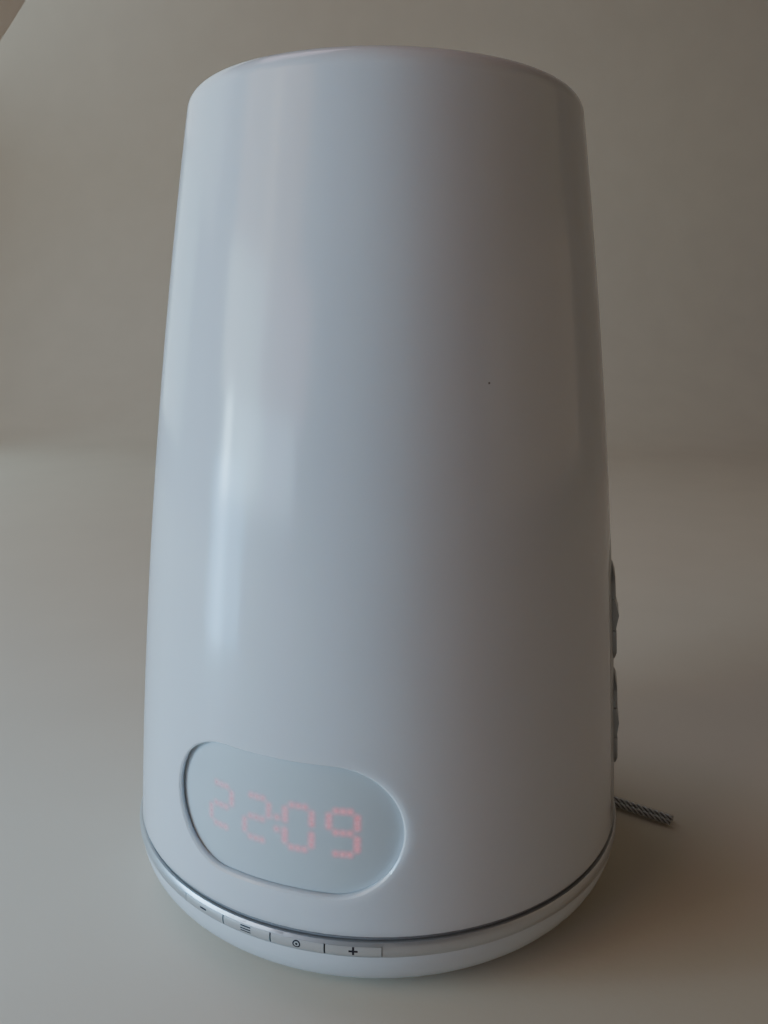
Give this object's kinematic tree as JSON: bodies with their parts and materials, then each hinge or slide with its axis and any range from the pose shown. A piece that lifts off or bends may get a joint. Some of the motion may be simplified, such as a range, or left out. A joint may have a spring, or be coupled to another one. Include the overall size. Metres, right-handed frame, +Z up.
{
  "type": "sunrise alarm clock",
  "caption": "Tall milky bedside lamp that brightens like a sunrise, with a glowing clock display and buttons in its foot and an aerial lead behind.",
  "frame": {"origin": "centre of the resting plane, on the lamp's own axis", "axes": "+Z up along the lamp, the clock face looks towards -Y, the side buttons towards +X"},
  "size_m": [0.1896, 0.2541, 0.2545],
  "materials": {
    "shade_milky": "satin, translucent",
    "cover_white": "fine satin",
    "panel_grey": "satin silver paint",
    "side_button_grey": "satin silver paint",
    "band_silver": "satin silver paint",
    "front_button_silver": "satin silver paint",
    "bowl_white": "satin",
    "plate_grey": "spark-eroded",
    "foot_rubber": "matt",
    "screw_steel": "zinc plated",
    "chassis_grey": "matt",
    "deck_white": "matt",
    "reflector_white": "stoved white",
    "holder_ceramic": "glazed ceramic",
    "cap_nickel": "rolled",
    "bulb_glass": "clear",
    "window_milky": "satin, translucent",
    "baffle_dark": "matt",
    "board_green": "solder mask",
    "led_red": "diffused",
    "strip_amber": "polyimide film",
    "dome_steel": "bright",
    "switch_black": "matt",
    "core_steel": "laminated",
    "bobbin_yellow": "taped winding",
    "capacitor_sleeve": "shrink sleeve",
    "sink_aluminium": "extruded",
    "speaker_steel": "pressed, black",
    "cone_paper": "pulp",
    "magnet_ferrite": "sintered",
    "inlet_black": "matt",
    "pin_brass": "nickelled",
    "grommet_rubber": "matt",
    "lead_clear": "clear sleeve on silver strands",
    "tie_white": "paper covered"
  },
  "bodies": {
    "housing": {"shade": "shade_milky", "rear_cover": "cover_white", "side_panel": "panel_grey", "band_trim": "band_silver", "base_bowl": "bowl_white", "base_plate": "plate_grey", "rubber_feet": "foot_rubber", "plate_screws": "screw_steel", "cover_screws": "screw_steel", "deck_screws": "screw_steel", "board_screws": "screw_steel", "speaker_screws": "screw_steel", "chassis": "chassis_grey", "light_deck": "deck_white", "reflector": "reflector_white", "lamp_holder": "holder_ceramic", "bulb_cap": "cap_nickel", "bulb_glass": "bulb_glass", "display_window": "window_milky", "light_baffle": "baffle_dark", "display_board": "board_green", "display_leds": "led_red", "front_switch_strip": "strip_amber", "front_switch_domes": "dome_steel", "side_switch_board": "board_green", "side_switches": "switch_black", "main_board": "board_green", "transformer_core": "core_steel", "transformer_bobbin": "bobbin_yellow", "capacitors": "capacitor_sleeve", "heat_sink": "sink_aluminium", "dimmer": "switch_black", "speaker_frame": "speaker_steel", "speaker_cone": "cone_paper", "speaker_magnet": "magnet_ferrite", "mains_inlet": "inlet_black", "inlet_pins": "pin_brass", "aerial_grommet": "grommet_rubber", "aerial_lead": "lead_clear", "aerial_coil": "lead_clear", "aerial_tail": "lead_clear", "lead_tie": "tie_white"},
    "minus_button": {"minus_button": "front_button_silver"},
    "menu_button": {"menu_button": "front_button_silver"},
    "select_button": {"select_button": "front_button_silver"},
    "plus_button": {"plus_button": "front_button_silver"},
    "light_up_button": {"light_up_button": "side_button_grey"},
    "light_switch_button": {"light_switch_button": "side_button_grey"},
    "light_down_button": {"light_down_button": "side_button_grey"},
    "sound_up_button": {"sound_up_button": "side_button_grey"},
    "sound_switch_button": {"sound_switch_button": "side_button_grey"},
    "sound_down_button": {"sound_down_button": "side_button_grey"}
  },
  "joints": [
    {"name": "minus_button_press", "type": "slide", "parent": "housing", "child": "minus_button", "axis": [0.2752, 0.9614, 0], "range_m": [0, 0.0008], "stiffness_N_per_m": 1500},
    {"name": "menu_button_press", "type": "slide", "parent": "housing", "child": "menu_button", "axis": [0.0928, 0.9957, 0], "range_m": [0, 0.0008], "stiffness_N_per_m": 1500},
    {"name": "select_button_press", "type": "slide", "parent": "housing", "child": "select_button", "axis": [-0.0928, 0.9957, 0], "range_m": [0, 0.0008], "stiffness_N_per_m": 1500},
    {"name": "plus_button_press", "type": "slide", "parent": "housing", "child": "plus_button", "axis": [-0.2752, 0.9614, 0], "range_m": [0, 0.0008], "stiffness_N_per_m": 1500},
    {"name": "light_up_button_press", "type": "slide", "parent": "housing", "child": "light_up_button", "axis": [-0.9945, -0.1045, 0], "range_m": [0, 0.0008], "stiffness_N_per_m": 1500},
    {"name": "light_switch_button_press", "type": "slide", "parent": "housing", "child": "light_switch_button", "axis": [-0.9945, -0.1045, 0], "range_m": [0, 0.0008], "stiffness_N_per_m": 1500},
    {"name": "light_down_button_press", "type": "slide", "parent": "housing", "child": "light_down_button", "axis": [-0.9945, -0.1045, 0], "range_m": [0, 0.0008], "stiffness_N_per_m": 1500},
    {"name": "sound_up_button_press", "type": "slide", "parent": "housing", "child": "sound_up_button", "axis": [-0.9945, -0.1045, 0], "range_m": [0, 0.0008], "stiffness_N_per_m": 1500},
    {"name": "sound_switch_button_press", "type": "slide", "parent": "housing", "child": "sound_switch_button", "axis": [-0.9945, -0.1045, 0], "range_m": [0, 0.0008], "stiffness_N_per_m": 1500},
    {"name": "sound_down_button_press", "type": "slide", "parent": "housing", "child": "sound_down_button", "axis": [-0.9945, -0.1045, 0], "range_m": [0, 0.0008], "stiffness_N_per_m": 1500}
  ]
}
